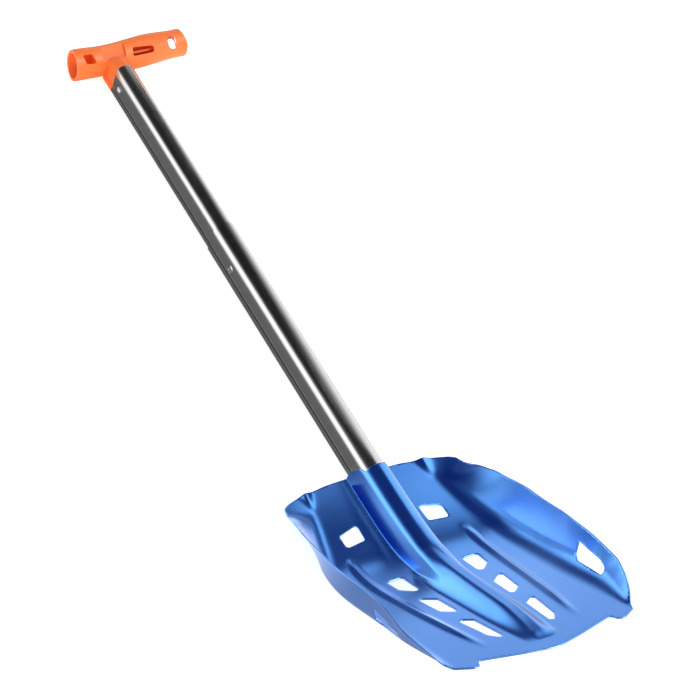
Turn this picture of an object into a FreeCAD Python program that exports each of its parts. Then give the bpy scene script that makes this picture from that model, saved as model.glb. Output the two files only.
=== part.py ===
import FreeCAD, Part
import math
import os
import Sketcher

# Avalanche shovel: pressed alloy blade with a socket for the shaft, a two-part
# telescopic shaft of D-like section held by snap buttons, and a moulded T-grip.
# Millimetres.  +Y runs along the shaft to the grip, +Z leaves the blade's
# scooping face and +X is to the right seen from that face.  The origin lies on
# the flat back of the socket tray, below the front edge of the socket.
# Heights inside this file are measured from the shaft's own datum line, which
# runs axis_height above the row's zero.

doc = FreeCAD.newDocument("avalanche_shovel")
sizes = doc.addObject("Spreadsheet::Sheet", "Sizes")

DRIVING = [
    ("axis_height", 17.6, "datum line of the shaft above the tray's flat back"),
    ("sheet_thickness", 1.6, "blade sheet"),
    ("bed_height", -14.0, "scooping face of the flat bed beside the socket"),
    ("bed_slope", 0.65, "rise of the bed per length in front of the bend"),
    ("bend_place", -88.4, "where the two planes of the bed meet"),
    ("bend_radius", 19.0, "softness of the bend, a length along the shaft"),
    ("tube_wall", 1.0, "both shaft tubes"),
    ("slide_gap", 0.1, "clearance between the two tubes"),
    ("dome_radius", 11.8, "rounded front of the outer tube"),
    ("dome_centre", 10.7, "height of the dome's centre"),
    ("side_angle", 83.3, "slope of the tube's sides, degrees"),
    ("back_height", -15.5, "flat back of the outer tube"),
    ("corner_radius", 5.0, "back corners of the outer tube"),
    ("groove_depth", 0.9, "grooves along both sides"),
    ("groove_top", 8.2, "upper end of the side groove"),
    ("groove_bottom", -5.4, "lower end of the side groove"),
    ("lower_inner_end", -95.0, "end of the lower tube inside the socket"),
    ("lower_outer_end", 333.0, "end of the lower tube on the shaft"),
    ("upper_inner_end", 262.0, "end of the upper tube inside the lower one"),
    ("upper_outer_end", 573.5, "end of the upper tube at the grip"),
    ("tray_thickness", 2.0, "floor of the socket tray"),
    ("tray_front", -104.0, "closed end of the tray"),
    ("tray_rear", 12.0, "open end of the tray"),
    ("tray_half_width", 32.0, "wings of the tray"),
    ("tray_box_half_width", 17.5, "walls of the tray beside the tube"),
    ("shaft_button_place", 289.0, "telescope button along the shaft"),
    ("shaft_button_height", 1.5, "telescope button above the datum"),
    ("blade_button_place", -60.0, "blade lock button along the shaft"),
    ("button_radius", 4.2, "both snap buttons"),
    ("button_hole_radius", 4.6, "holes for the snap buttons"),
    ("button_recess", 0.1, "button heads end below the outer face"),
    ("leaf_thickness", 0.6, "bent leaf springs"),
    ("leaf_width", 7.0, "bent leaf springs"),
    ("grip_centre", 29.5, "grip bar's axis beyond the end of the tube"),
    ("grip_half_depth", 19.0, "grip bar, across the blade's plane"),
    ("grip_half_height", 14.0, "grip bar, along the shaft"),
    ("grip_left_end", -44.0, "open end of the grip bar"),
    ("grip_right_end", 87.0, "closed end of the grip bar"),
    ("grip_plug_length", 30.0, "plug of the grip inside the upper tube"),
    ("rivet_place", 560.0, "grip rivets along the shaft"),
    ("rivet_height", 1.1, "grip rivets above the datum"),
    ("rivet_radius", 2.4, "shank of the grip rivets"),
    ("rivet_head_radius", 3.4, "domed heads of the grip rivets"),
    ("cap_flange", 2.5, "flanges of the two plastic tube ends"),
    ("cap_plug_length", 12.0, "plugs of the two plastic tube ends"),
]
for row, (alias, value, note) in enumerate(DRIVING, start=1):
    sizes.set(f"A{row}", note)
    sizes.set(f"B{row}", str(value))
    sizes.setAlias(f"B{row}", alias)
doc.recompute()


def size(alias):
    return float(sizes.get(alias))


# ---------------------------------------------------------------- helpers

PARTS = []


def vec(x, y, z=0.0):
    return FreeCAD.Vector(x, y, z)


def register(part, label):
    part.Label = label
    PARTS.append(part)
    return part


def new_body(label, along="0 mm", height=""):
    """A body whose own zero lies on the shaft's datum line at `along`."""
    body = register(doc.addObject("PartDesign::Body", label), label)
    body.setExpression("Placement.Base.y", along)
    body.setExpression("Placement.Base.z", "Sizes.axis_height" + height)
    return body


def new_sketch(body, plane, label, outline, offset=""):
    """A closed outline on one of the body's origin planes."""
    sketch = body.newObject("Sketcher::SketchObject", label)
    origin_plane = next(item for item in body.Origin.OriginFeatures if item.Role == plane)
    sketch.AttachmentSupport = [(origin_plane, "")]
    sketch.MapMode = "FlatFace"
    for piece in outline:
        sketch.addGeometry(piece, False)
    if offset:
        sketch.setExpression("AttachmentOffset.Base.z", offset)
    return sketch


def extrude(body, kind, sketch, length, reverse=False, symmetric=False):
    feature = body.newObject("PartDesign::" + kind, sketch.Label + "_" + kind.lower())
    feature.Profile = sketch
    feature.setExpression("Length", length)
    feature.Reversed = reverse
    if symmetric:
        feature.SideType = "Symmetric"
    return feature


def circle(radius, x=0.0, y=0.0):
    return [Part.Circle(vec(x, y), vec(0, 0, 1), radius)]


def rounded(corners):
    """Closed outline from (x, y, radius) corners, each rounded by its arc."""
    count = len(corners)
    tangents = []
    for index, (x, y, radius) in enumerate(corners):
        here = vec(x, y)
        before = vec(*corners[index - 1][:2]) - here
        after = vec(*corners[(index + 1) % count][:2]) - here
        before.normalize()
        after.normalize()
        half = before.getAngle(after) / 2
        reach = radius / math.tan(half)
        bisector = (before + after).normalize()
        middle = here + bisector * (radius / math.sin(half) - radius)
        tangents.append((here + before * reach, middle, here + after * reach, radius))
    outline = []
    for index, (start, middle, end, radius) in enumerate(tangents):
        if radius > 0:
            outline.append(Part.Arc(start, middle, end))
        following = tangents[(index + 1) % count][0]
        if end.distanceToPoint(following) > 1e-6:
            outline.append(Part.LineSegment(end, following))
    return outline


def mirrored(corners):
    return [(-x, y, radius) for x, y, radius in reversed(corners)]


def box_corners(x_low, x_high, y_low, y_high, radius):
    return [(x_low, y_low, radius), (x_high, y_low, radius),
            (x_high, y_high, radius), (x_low, y_high, radius)]


# ---------------------------------------------------------- shaft section

GROOVE_SHOULDER = 0.8


def tube_outline(inset):
    """Outer tube's section moved inwards by `inset`, as sketch geometry.

    Local x is across the shaft and local y is the height above its datum."""
    angle = math.radians(size("side_angle"))
    down = (math.cos(angle), -math.sin(angle))
    outward = (math.sin(angle), math.cos(angle))
    dome = size("dome_radius")
    top_centre = size("dome_centre")
    shoulder = (dome * outward[0], top_centre + dome * outward[1])
    corner = size("corner_radius")
    corner_height = size("back_height") + corner
    side_end = (shoulder[1] - corner_height - corner * outward[1]) / -down[1]

    def side(distance, depth=0.0):
        return vec(shoulder[0] + down[0] * distance - outward[0] * depth,
                   shoulder[1] + down[1] * distance - outward[1] * depth)

    groove_start = (shoulder[1] - size("groove_top")) / -down[1]
    groove_end = (shoulder[1] - size("groove_bottom")) / -down[1]
    depth = size("groove_depth")
    chain = [
        side(0.0),
        side(groove_start),
        side(groove_start + GROOVE_SHOULDER, depth),
        side(groove_end - GROOVE_SHOULDER, depth),
        side(groove_end),
        side(side_end),
    ]
    corner_centre = vec(chain[-1].x - corner * outward[0], corner_height)
    corner_middle = corner_centre + vec(math.cos(-math.radians(45)), math.sin(-math.radians(45))) * corner
    corner_foot = vec(corner_centre.x, size("back_height"))

    def flip(point):
        return vec(-point.x, point.y)

    edges = [Part.Arc(flip(chain[0]), vec(0, top_centre + dome), chain[0]).toShape()]
    edges += [Part.LineSegment(a, b).toShape() for a, b in zip(chain, chain[1:])]
    edges.append(Part.Arc(chain[-1], corner_middle, corner_foot).toShape())
    edges.append(Part.LineSegment(corner_foot, flip(corner_foot)).toShape())
    edges.append(Part.Arc(flip(corner_foot), flip(corner_middle), flip(chain[-1])).toShape())
    left = [flip(point) for point in reversed(chain)]
    edges += [Part.LineSegment(a, b).toShape() for a, b in zip(left, left[1:])]
    wire = Part.Wire(edges)
    if inset > 0:
        wire = wire.makeOffset2D(-inset, join=2)
    return wire_outline(wire)


def wire_outline(wire):
    """Lines and arcs of a flat wire as sketch geometry."""
    outline = []
    for edge in wire.OrderedEdges:
        first = edge.valueAt(edge.FirstParameter)
        last = edge.valueAt(edge.LastParameter)
        if isinstance(edge.Curve, (Part.Line, Part.LineSegment)):
            outline.append(Part.LineSegment(first, last))
        else:
            middle = edge.valueAt((edge.FirstParameter + edge.LastParameter) / 2)
            outline.append(Part.Arc(first, middle, last))
    return outline


WALL = size("tube_wall")
UPPER_INSET = WALL + size("slide_gap")


def groove_face(height, inset):
    """Half the width across the groove floors at a height, inset as above."""
    angle = math.radians(size("side_angle"))
    dome = size("dome_radius")
    start_x = dome * math.sin(angle)
    start_height = size("dome_centre") + dome * math.cos(angle)
    line_x = start_x + (start_height - height) / math.tan(angle)
    return line_x - (size("groove_depth") + inset) / math.sin(angle)


# ------------------------------------------------------------ blade shape

def slope_through(places, values):
    """Tangents of a smooth curve through stations that never overshoots them."""
    count = len(places)
    steps = [places[i + 1] - places[i] for i in range(count - 1)]
    rates = [(values[i + 1] - values[i]) / steps[i] for i in range(count - 1)]
    tangents = [0.0] * count
    for i in range(1, count - 1):
        if rates[i - 1] * rates[i] > 0:
            before = 2 * steps[i] + steps[i - 1]
            after = steps[i] + 2 * steps[i - 1]
            tangents[i] = (before + after) / (before / rates[i - 1] + after / rates[i])
    tangents[0] = rates[0]
    tangents[-1] = rates[-1]
    return tangents


def station_curve(stations):
    """Smooth function of the place along the shaft through (place, value) pairs."""
    ordered = sorted(stations)
    places = [place for place, _ in ordered]
    values = [value for _, value in ordered]
    tangents = slope_through(places, values)

    def curve(y):
        if y <= places[0]:
            return values[0] + tangents[0] * (y - places[0])
        if y >= places[-1]:
            return values[-1] + tangents[-1] * (y - places[-1])
        i = max(k for k in range(len(places) - 1) if places[k] <= y)
        span = places[i + 1] - places[i]
        t = (y - places[i]) / span
        return ((2 * t**3 - 3 * t**2 + 1) * values[i] + (t**3 - 2 * t**2 + t) * span * tangents[i]
                + (3 * t**2 - 2 * t**3) * values[i + 1] + (t**3 - t**2) * span * tangents[i + 1])

    return curve


# Stations (place along the shaft, value) of the blade's lines.
rim_width = station_curve([(26, 85), (18, 88), (-6, 95), (-27, 100.5), (-50, 105), (-98, 109.5),
                           (-137, 110.5), (-165, 109.5), (-200, 109.5), (-225, 110.5), (-242, 107.5),
                           (-255, 103.5), (-266, 99.5), (-279, 93.5), (-312, 82)])
rim_height = station_curve([(26, 3), (18, 4), (-6, 10), (-27, 24.5), (-50, 37.5), (-98, 52), (-137, 51.5),
                            (-178, 46.6), (-225, 31), (-262, 12.2), (-279, 1), (-312, 0.2)])
flank_foot = station_curve([(26, 57), (18, 58), (-20, 62), (-50, 68), (-90, 78), (-130, 82), (-190, 83),
                            (-230, 86), (-262, 88), (-290, 90), (-312, 82)])
channel_height = station_curve([(30, 38.7), (0, 38.7), (-50, 37.7), (-84, 34.2), (-110, 28), (-138, 23),
                                (-173, 19.5), (-222, 15.5), (-250, 10.5), (-272, 5), (-288, 0), (-312, 0)])
channel_foot = station_curve([(30, 16.4), (-110, 16.4), (-138, 16.2), (-173, 15.5), (-222, 14.5),
                              (-250, 13.5), (-272, 12.5), (-312, 12)])
bead_line = station_curve([(26, 61), (-60, 61), (-75, 62), (-110, 63), (-160, 60), (-220, 54),
                           (-262, 48.5), (-280, 46), (-312, 44)])

CHANNEL_DOME_RADIUS = 13.7
CHANNEL_FILLET = 7.0
# In front of the tube's end the ridge turns into a rounded swell.
SOFT_START = -112.0
SOFT_LENGTH = 45.0
SOFT_CREST = 3.0
SOFT_SPREAD = 1.5
BEAD_HEIGHT = 2.4
BEAD_WIDTH = 4.2
FLANK_RADIUS = 22.0
DART_PLACE = 64.0
DART_TIP = -10.0
DART_LENGTH = 24.0


def smooth_step(t):
    t = min(max(t, 0.0), 1.0)
    return t * t * (3 - 2 * t)


def bed(y):
    """Height of the bed: level by the socket, rising in front of the bend."""
    softness = size("bend_radius")
    rise = math.log1p(math.exp((size("bend_place") - y) / softness))
    return size("bed_height") + size("bed_slope") * softness * rise


def flank(a, y):
    """Height of the side wall above the bed: a fillet, then a straight wall."""
    height = max(rim_height(y), 0.2)
    foot = flank_foot(y)
    reach = max(rim_width(y) - foot, 4.0)
    radius = min(FLANK_RADIUS, 0.8 * (height**2 + reach**2) / (2 * height))
    above = height - radius
    angle = math.acos(-radius / math.hypot(above, reach)) - math.atan2(reach, above)
    run = max(a - foot, 0.0)
    tangent = radius * math.sin(angle)
    arc = radius - math.sqrt(max(radius**2 - min(run, tangent)**2, 0.0))
    return arc + max(run - tangent, 0.0) * math.tan(angle)


SIDE = math.radians(size("side_angle"))
SOCKET_TOP = size("dome_centre") + size("dome_radius") + 0.35 + size("sheet_thickness")
SOCKET_FOOT = channel_foot(0.0)
SHOULDER = CHANNEL_DOME_RADIUS * math.sin(SIDE)


def channel(a, y):
    """Height of the hollow ridge that forms the socket and fades to the front."""
    height = max(channel_height(y), 0.0)
    foot = channel_foot(y)
    scaled = a / foot * SOCKET_FOOT
    centre = SOCKET_TOP - CHANNEL_DOME_RADIUS
    if scaled < SHOULDER:
        level = centre + math.sqrt(CHANNEL_DOME_RADIUS**2 - scaled**2)
    else:
        level = centre + CHANNEL_DOME_RADIUS * math.cos(SIDE) - (scaled - SHOULDER) * math.tan(SIDE)
    ridge = (level - size("bed_height")) / (SOCKET_TOP - size("bed_height")) * height
    fillet = min(CHANNEL_FILLET, 0.4 * height + 0.01)
    sharp = max(ridge, 0.0) + max(fillet - abs(ridge), 0.0)**2 / (4 * fillet)
    soft = height * (1 - smooth_step((a - SOFT_CREST) / (SOFT_SPREAD * foot - SOFT_CREST)))
    share = smooth_step((SOFT_START - y) / SOFT_LENGTH)
    return sharp * (1 - share) + soft * share


def bead(a, y):
    """Low stiffening rib on each side of the bed."""
    height = BEAD_HEIGHT * smooth_step((-y - 66) / 25) * smooth_step((y + 275) / 60)
    return height * math.exp(-((a - bead_line(y)) / BEAD_WIDTH)**2)


def dart(a, y):
    """Wedge-shaped crease that runs in from the top edge."""
    growth = min(max((y - DART_TIP) / DART_LENGTH, 0.0), 1.3)
    return 3.5 * growth**1.5 * math.exp(-((a - DART_PLACE) / (3 + 3 * growth))**2)


def scoop(x, y):
    a = abs(x)
    return bed(y) + flank(a, y) + channel(a, y) + bead(a, y) + dart(a, y)


def scoop_normal(x, y):
    step = 0.05
    across = (scoop(x + step, y) - scoop(x - step, y)) / (2 * step)
    along = (scoop(x, y + step) - scoop(x, y - step)) / (2 * step)
    return vec(-across, -along, 1.0).normalize()


def columns(y):
    """Distances from the middle at which the sheet is sampled, at one place."""
    foot = channel_foot(y)
    shoulder = SHOULDER / SOCKET_FOOT
    widest = math.sin(math.radians(84))
    dome = [shoulder * math.sin(math.radians(turn)) / widest for turn in range(0, 85, 12)]
    wall = [shoulder + (1 - shoulder) * share for share in (0.14, 0.28, 0.42, 0.56, 0.68, 0.78, 0.87, 0.94)]
    fillet = [1.0, 1.03, 1.07, 1.13, 1.22, 1.36]
    middle = [foot * share for share in dome + wall + fillet]
    rib = bead_line(y)
    around = [rib + shift for shift in (-12, -9, -6.5, -4.5, -2.5, -0.8, 0.8, 2.5, 4.5, 6.5, 9)]
    between = [(middle[-1] * (3 - k) + around[0] * k) / 3 for k in (1, 2)]
    start = around[-1]
    rim = rim_width(y)
    side = [start + (rim - start) * k / 14 for k in range(1, 15)]
    return middle + between + around + side


SHEET_ROWS = ([26, 22, 18, 14, 10, 6, 2, -3, -8, -13, -19, -26, -33]
              + [-40 - 8 * k for k in range(30)]
              + [-277, -282, -286, -290, -294, -299, -305, -312])


def clamped_knots(count, degree=3):
    inner = count - degree - 1
    return [degree + 1] + [1] * inner + [degree + 1], [float(k) for k in range(inner + 2)]


def spline_face(rows):
    """Smooth surface steered by a grid of points, exact on its border curves."""
    u_count = len(rows)
    v_count = len(rows[0])
    u_degree = min(3, u_count - 1)
    v_degree = min(3, v_count - 1)
    u_mults, u_knots = clamped_knots(u_count, u_degree)
    v_mults, v_knots = clamped_knots(v_count, v_degree)
    surface = Part.BSplineSurface()
    surface.buildFromPolesMultsKnots(rows, u_mults, v_mults, u_knots, v_knots, False, False,
                                     u_degree, v_degree)
    return surface.toShape()


def pressed_sheet():
    """The untrimmed blade as one closed sheet of even thickness."""
    front = []
    back = []
    for y in SHEET_ROWS:
        right = columns(y)
        across = [-a for a in reversed(right[1:])] + right
        front.append([vec(x, y, scoop(x, y)) for x in across])
        back.append([vec(x, y, scoop(x, y)) - scoop_normal(x, y) * size("sheet_thickness") for x in across])
    sides = [
        [front[0], back[0]],
        [front[-1], back[-1]],
        [[row[0] for row in front], [row[0] for row in back]],
        [[row[-1] for row in front], [row[-1] for row in back]],
    ]
    shell = Part.Shell([spline_face(grid) for grid in [front, back] + sides])
    shell.sewShape()
    solid = Part.Solid(shell)
    if solid.Volume < 0:
        solid.reverse()
    return solid


# Outline seen along Z, right half from the socket's edge to the front point.
PLAN = [
    (12.3, 0.0, 1.0), (15.6, 19.2, 2.0), (42, 18.6, 100.0), (74, 12.5, 60.0), (95.5, 3.0, 22.0),
    (103, -40, 8.0), (125, -60, 5.0), (125, -249, 5.0), (103, -258, 6.0), (94, -283, 9.0),
    (76, -293.5, 3.0), (70.5, -291.5, 1.5), (67.5, -284.0, 2.0), (60, -286.0, 6.0), (28, -296.0, 60.0),
]
PLAN_POINT = (0.0, -303.0, 40.0)

# Openings seen along Z on the right half.
BED_HOLES = [
    [(33, -33.5, 3), (34, -54, 3), (55.5, -57, 3), (55.5, -40.5, 4)],
    [(31.5, -115.5, 3), (31, -150, 4), (47, -135, 4), (48.5, -115.5, 3)],
    [(29, -168.5, 3), (27.5, -201.5, 3), (41, -190.5, 4), (45, -156.5, 3)],
    [(27, -220, 3), (23, -268, 3), (34.5, -251, 5), (40, -211, 3)],
]
# Opening in the flank, seen along X: place along the shaft and height.
FLANK_HOLE = [(-178.5, 75, 2), (-183, 62, 3), (-190, 62, 4), (-226, 83, 3), (-221, 88.5, 3), (-212, 87.5, 6)]


def tool_body(label):
    body = doc.addObject("PartDesign::Body", label)
    body.Label = label
    return body


def make_blade():
    sheet = doc.addObject("Part::Feature", "pressed_sheet")
    sheet.Shape = pressed_sheet()

    plan = tool_body("blade_plan")
    outline = rounded(PLAN + [PLAN_POINT] + mirrored(PLAN))
    plan_sketch = new_sketch(plan, "XY_Plane", "blade_plan_outline", outline)
    extrude(plan, "Pad", plan_sketch, "500 mm", symmetric=True)

    holes = tool_body("bed_holes")
    outlines = [rounded(hole) for hole in BED_HOLES] + [rounded(mirrored(hole)) for hole in BED_HOLES]
    hole_sketch = new_sketch(holes, "XY_Plane", "bed_hole_outlines", sum(outlines, []))
    extrude(holes, "Pad", hole_sketch, "500 mm", symmetric=True)

    flank_tools = []
    for side, reach in (("right", "90 mm"), ("left", "-130 mm")):
        tool = tool_body("flank_hole_" + side)
        sketch = new_sketch(tool, "YZ_Plane", "flank_outline_" + side, rounded(FLANK_HOLE), offset=reach)
        extrude(tool, "Pad", sketch, "40 mm")
        flank_tools.append(tool)

    trimmed = doc.addObject("Part::Common", "trimmed_sheet")
    trimmed.Base = sheet
    trimmed.Tool = plan
    pierced = doc.addObject("Part::Cut", "pierced_sheet")
    pierced.Base = trimmed
    pierced.Tool = holes
    opened = doc.addObject("Part::Cut", "opened_sheet")
    opened.Base = pierced
    opened.Tool = flank_tools[0]
    blade = doc.addObject("Part::Cut", "blade")
    blade.Base = opened
    blade.Tool = flank_tools[1]
    blade.setExpression("Placement.Base.z", "Sizes.axis_height")
    return register(blade, "blade")


# ------------------------------------------------------------ socket tray

TRAY_GAP = 0.05
WING_THICKNESS = 1.6
# The room for the tube inside the tray.
ROOM_GAP = 0.1
ROOM_HALF_WIDTH = 14.6
ROOM_CORNER = 4.6
ROOM_TOP = -2.0


def wing_line(drop):
    """Back of the bed lowered by `drop`, as a smooth curve along the shaft."""
    points = []
    for k in range(12):
        y = size("tray_front") + (size("tray_rear") - size("tray_front")) * k / 11
        normal = scoop_normal(26.0, y)
        level = bed(y) - size("sheet_thickness") / normal.z - TRAY_GAP
        points.append(vec(y, level - drop / normal.z))
    curve = Part.BSplineCurve()
    curve.interpolate(points)
    return curve, points[0], points[-1]


def make_tray():
    body = new_body("socket_tray")
    upper, upper_front, upper_rear = wing_line(0.0)
    lower, lower_front, lower_rear = wing_line(WING_THICKNESS)
    wing = [upper, Part.LineSegment(upper_rear, lower_rear), lower,
            Part.LineSegment(lower_front, upper_front)]
    wing_sketch = new_sketch(body, "YZ_Plane", "tray_wings", wing)
    extrude(body, "Pad", wing_sketch, "2 * Sizes.tray_half_width", symmetric=True)

    floor_level = size("back_height") - ROOM_GAP - size("tray_thickness")
    block = [upper, Part.LineSegment(upper_rear, vec(upper_rear.x, floor_level)),
             Part.LineSegment(vec(upper_rear.x, floor_level), vec(upper_front.x, floor_level)),
             Part.LineSegment(vec(upper_front.x, floor_level), upper_front)]
    block_sketch = new_sketch(body, "YZ_Plane", "tray_box", block)
    extrude(body, "Pad", block_sketch, "2 * Sizes.tray_box_half_width", symmetric=True)

    bottom = size("back_height") - ROOM_GAP
    room = rounded([(-ROOM_HALF_WIDTH, bottom, ROOM_CORNER), (ROOM_HALF_WIDTH, bottom, ROOM_CORNER),
                    (ROOM_HALF_WIDTH, ROOM_TOP, 0), (-ROOM_HALF_WIDTH, ROOM_TOP, 0)])
    room_sketch = new_sketch(body, "XZ_Plane", "tray_room", room, offset="-Sizes.tray_rear - 1")
    extrude(body, "Pocket", room_sketch, "Sizes.tray_rear - Sizes.tray_front - 1.4", reverse=True)

    hole_sketch = new_sketch(body, "XY_Plane", "tray_button_hole",
                             circle(size("button_hole_radius"), 0, size("blade_button_place")))
    extrude(body, "Pocket", hole_sketch, "60 mm", symmetric=True)
    return body


# ----------------------------------------------------------- shaft tubes

RIVET_GAP = 0.05


def drill(body, label, plane, radius, centre, through=False):
    """Round hole through the wall on the -X or -Z side, or through both walls."""
    sketch = new_sketch(body, plane, label, circle(radius, *centre))
    extrude(body, "Pocket", sketch, "60 mm" if through else "30 mm", symmetric=through)


def make_tube(label, inset, end, length):
    """Drawn tube from `end` towards the blade."""
    body = new_body(label, "Sizes." + end)
    walls = tube_outline(inset) + tube_outline(inset + WALL)
    section = new_sketch(body, "XZ_Plane", label + "_section", walls)
    extrude(body, "Pad", section, length)
    button_place = size("shaft_button_place") - size(end)
    drill(body, label + "_telescope_hole", "YZ_Plane", size("button_hole_radius"),
          (button_place, size("shaft_button_height")))
    return body


def make_lower_tube():
    body = make_tube("lower_tube", 0.0, "lower_outer_end", "Sizes.lower_outer_end - Sizes.lower_inner_end")
    lock_place = size("blade_button_place") - size("lower_outer_end")
    drill(body, "lower_tube_lock_hole", "XY_Plane", size("button_hole_radius"), (0.0, lock_place))


def make_upper_tube():
    body = make_tube("upper_tube", UPPER_INSET, "upper_outer_end",
                     "Sizes.upper_outer_end - Sizes.upper_inner_end")
    rivet_centre = (size("rivet_place") - size("upper_outer_end"), size("rivet_height"))
    hole_radius = size("rivet_radius") + RIVET_GAP
    drill(body, "upper_tube_rivet_hole", "YZ_Plane", hole_radius, rivet_centre, through=True)


def make_tube_plug(label, inset, end):
    """Plastic end: a flange against the tube and a hollow plug inside it."""
    body = new_body(label, "Sizes." + end)
    flange = new_sketch(body, "XZ_Plane", label + "_flange", tube_outline(inset + 0.1))
    extrude(body, "Pad", flange, "Sizes.cap_flange")
    plug = new_sketch(body, "XZ_Plane", label + "_plug", tube_outline(inset + WALL + 0.1))
    extrude(body, "Pad", plug, "Sizes.cap_plug_length", reverse=True)
    bore = new_sketch(body, "XZ_Plane", label + "_bore", rounded(box_corners(-6.5, 6.5, -9, 12, 4.0)),
                      offset="-Sizes.cap_plug_length - 1")
    extrude(body, "Pocket", bore, "Sizes.cap_plug_length + 0.5", reverse=True)
    return body


# --------------------------------------------------- snap buttons, springs

FLANGE_THICKNESS = 0.8
FLANGE_RADIUS = 5.6
LEAF_GAP = 0.05
# The walls of the tube lean, so a flat flange or leaf needs room beside them.
SLANT_ROOM = 0.75


def turned(body, plane, label, profile):
    sketch = new_sketch(body, plane, label, profile)
    feature = body.newObject("PartDesign::Revolution", label + "_turn")
    feature.Profile = sketch
    feature.ReferenceAxis = (sketch, ["V_Axis"])
    feature.Angle = 360
    return feature


def button_profile(outer, inner):
    """Half section of a button: x is the radius, y runs out of the tube."""
    radius = size("button_radius")
    flat = radius * 0.3
    dome = 0.7
    face = outer - dome
    return [
        Part.LineSegment(vec(0, inner - FLANGE_THICKNESS), vec(FLANGE_RADIUS, inner - FLANGE_THICKNESS)),
        Part.LineSegment(vec(FLANGE_RADIUS, inner - FLANGE_THICKNESS), vec(FLANGE_RADIUS, inner)),
        Part.LineSegment(vec(FLANGE_RADIUS, inner), vec(radius, inner)),
        Part.LineSegment(vec(radius, inner), vec(radius, face)),
        Part.Arc(vec(radius, face), vec(radius * 0.76, outer - dome * 0.3), vec(flat, outer)),
        Part.LineSegment(vec(flat, outer), vec(0, outer)),
        Part.LineSegment(vec(0, outer), vec(0, inner - FLANGE_THICKNESS)),
    ]


def make_button(label, along, height, outer, inner, turn):
    """Button turned so that its own +Y points out of the tube."""
    body = register(doc.addObject("PartDesign::Body", label), label)
    turned(body, "XY_Plane", label + "_profile", button_profile(outer, inner))
    base = vec(0, size(along), size("axis_height") + height)
    body.Placement = FreeCAD.Placement(base, turn)
    return body


def hairpin(near, far, back, front):
    """Bent leaf spring: leg at height `near`, bend, and leg at height `far`."""
    leaf = size("leaf_thickness")
    inner_near = near + leaf
    inner_far = far - leaf
    middle = (near + far) / 2
    outer_radius = (far - near) / 2
    inner_radius = (inner_far - inner_near) / 2
    return [
        Part.LineSegment(vec(back, near), vec(front, near)),
        Part.Arc(vec(front, near), vec(front + outer_radius, middle), vec(front, far)),
        Part.LineSegment(vec(front, far), vec(back, far)),
        Part.LineSegment(vec(back, far), vec(back, inner_far)),
        Part.LineSegment(vec(back, inner_far), vec(front, inner_far)),
        Part.Arc(vec(front, inner_far), vec(front + inner_radius, middle), vec(front, inner_near)),
        Part.LineSegment(vec(front, inner_near), vec(back, inner_near)),
        Part.LineSegment(vec(back, inner_near), vec(back, near)),
    ]


def make_telescope_lock():
    height = size("shaft_button_height")
    outer = groove_face(height, 0.0) - size("button_recess")
    inner = groove_face(height, UPPER_INSET + WALL) - SLANT_ROOM
    make_button("telescope_button", "shaft_button_place", height, outer, inner,
                FreeCAD.Rotation(vec(0, 0, 1), 90))
    near = -(inner - FLANGE_THICKNESS - LEAF_GAP)
    far = groove_face(height, UPPER_INSET + WALL) - SLANT_ROOM
    body = new_body("telescope_spring", "Sizes.shaft_button_place", " + Sizes.shaft_button_height")
    outline = [flip_axes(piece) for piece in hairpin(near, far, -7.0, 17.0)]
    sketch = new_sketch(body, "XY_Plane", "telescope_spring_side", outline)
    extrude(body, "Pad", sketch, "Sizes.leaf_width", symmetric=True)
    return body


def flip_axes(piece):
    """Swap the two sketch axes of a line or an arc."""
    if isinstance(piece, Part.LineSegment):
        return Part.LineSegment(vec(piece.StartPoint.y, piece.StartPoint.x),
                                vec(piece.EndPoint.y, piece.EndPoint.x))
    middle = piece.value((piece.FirstParameter + piece.LastParameter) / 2)
    return Part.Arc(vec(piece.StartPoint.y, piece.StartPoint.x), vec(middle.y, middle.x),
                    vec(piece.EndPoint.y, piece.EndPoint.x))


def make_blade_lock():
    tray_face = size("back_height") - ROOM_GAP - size("tray_thickness")
    outer = -tray_face - size("button_recess")
    inner = -(size("back_height") + WALL) - LEAF_GAP
    make_button("blade_lock_button", "blade_button_place", 0.0, outer, inner,
                FreeCAD.Rotation(vec(1, 0, 0), -90))
    near = -(inner - FLANGE_THICKNESS - LEAF_GAP)
    far = size("dome_centre") + size("dome_radius") - WALL - 0.6
    body = new_body("blade_lock_spring", "Sizes.blade_button_place")
    sketch = new_sketch(body, "YZ_Plane", "blade_lock_spring_side", hairpin(near, far, -8.0, 22.0))
    extrude(body, "Pad", sketch, "Sizes.leaf_width", symmetric=True)
    return body


# ------------------------------------------------------------------ grip

GRIP_HEIGHT = 3.5
# The openings of the grip face the person who holds the shovel face up.
GRIP_FACING = 36.0
# Stations of the bar: share of its length, rise of its axis, share of its section.
GRIP_STATIONS = [(0.0, 3.2, 1.0), (0.17, 1.5, 0.98), (0.31, 0.5, 0.97), (0.44, 0.8, 1.0), (0.68, 2.0, 1.0),
                 (1.0, 3.0, 1.0)]
COLLAR_LENGTH = 20.0
COLLAR_INSET = 0.9

# Levels above the bar's axis, towards the user.
SADDLE_LEVEL = 13.8
RECESS_LEVEL = 15.2
RIB_TOP_LEVEL = 6.0
RIB_DEPTH = 22.0

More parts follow.
